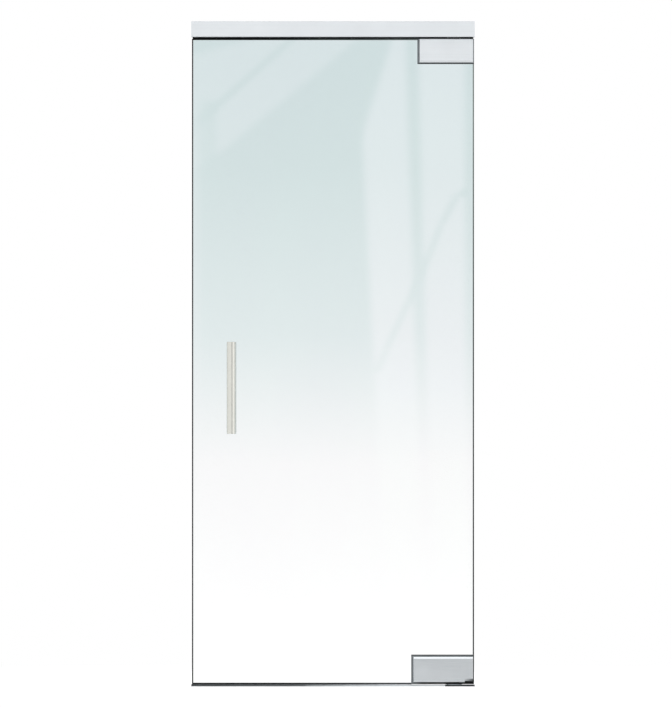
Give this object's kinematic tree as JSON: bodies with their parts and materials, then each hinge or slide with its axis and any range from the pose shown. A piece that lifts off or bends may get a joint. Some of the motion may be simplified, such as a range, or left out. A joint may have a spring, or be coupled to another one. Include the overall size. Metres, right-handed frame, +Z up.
{
  "type": "glass entrance door",
  "caption": "Frameless glass entrance door on corner patch fittings that pivots under a slim header with a concealed closer, with a tubular pull on each face.",
  "frame": {"origin": "on the finished floor, under the middle of the leaf, in the mid-plane of the glass", "axes": "+X runs along the opening towards the pivot side, -Y is the front, +Z is up"},
  "size_m": [0.918, 0.162, 2.1535],
  "materials": {
    "anodised_aluminium": "satin anodised",
    "mill_aluminium": "mill finish with fine extrusion lines",
    "brushed_stainless": "brushed along its length",
    "satin_stainless": "satin, brushed round the tube",
    "cast_clamp": "mid grey, as cast and blasted",
    "closer_paint": "grey paint on a casting",
    "gasket_rubber": "matt black",
    "pile": "dense black pile",
    "grey_pile": "dense grey pile",
    "zinc_steel": "zinc plated",
    "dark_steel": "blackened steel",
    "bronze": "turned and oiled",
    "nylon": "natural nylon",
    "toughened_glass": "clear float glass with a faint green tint"
  },
  "bodies": {
    "frame": {"header_channel": "anodised_aluminium", "header_cover": "anodised_aluminium", "pile_strip": "pile", "header_bracket_left": "zinc_steel", "header_bracket_right": "zinc_steel", "header_bracket_screws": "zinc_steel", "closer_carrier": "zinc_steel", "carrier_screws": "zinc_steel", "closer_body": "closer_paint", "closer_plugs": "zinc_steel", "closer_valves": "zinc_steel", "closer_screws": "zinc_steel", "threshold": "mill_aluminium", "threshold_pile": "grey_pile", "floor_pivot_plate": "dark_steel", "floor_pivot_pin": "zinc_steel", "thrust_ball": "zinc_steel"},
    "leaf": {"top_front_cover": "anodised_aluminium", "top_rear_cover": "anodised_aluminium", "bottom_front_cover": "brushed_stainless", "bottom_rear_cover": "brushed_stainless", "front_pull_tube": "satin_stainless", "rear_pull_tube": "satin_stainless", "pull_end_caps": "satin_stainless", "front_pull_posts": "satin_stainless", "rear_pull_posts": "satin_stainless", "top_front_clamp": "cast_clamp", "top_rear_clamp": "cast_clamp", "bottom_front_clamp": "cast_clamp", "bottom_rear_clamp": "cast_clamp", "spindle_seal": "gasket_rubber", "top_front_gasket": "gasket_rubber", "top_rear_gasket": "gasket_rubber", "bottom_front_gasket": "gasket_rubber", "bottom_rear_gasket": "gasket_rubber", "top_insert": "zinc_steel", "top_clamp_screws": "zinc_steel", "top_grub_screw": "zinc_steel", "bottom_insert": "zinc_steel", "bottom_clamp_screws": "zinc_steel", "bottom_grub_screw": "zinc_steel", "tube_screws": "zinc_steel", "pull_studs": "zinc_steel", "post_grub_screws": "zinc_steel", "closer_spindle": "dark_steel", "thrust_pad": "dark_steel", "pivot_bush": "bronze", "pull_bushes": "nylon", "pull_washers": "nylon", "glass_leaf": "toughened_glass"}
  },
  "joints": [
    {"name": "leaf_swing", "type": "hinge", "parent": "frame", "child": "leaf", "pos_m": [0.392, 0, 0], "axis": [0, 0, 1], "range_deg": [-90, 90], "stiffness_Nm_per_rad": 19}
  ]
}
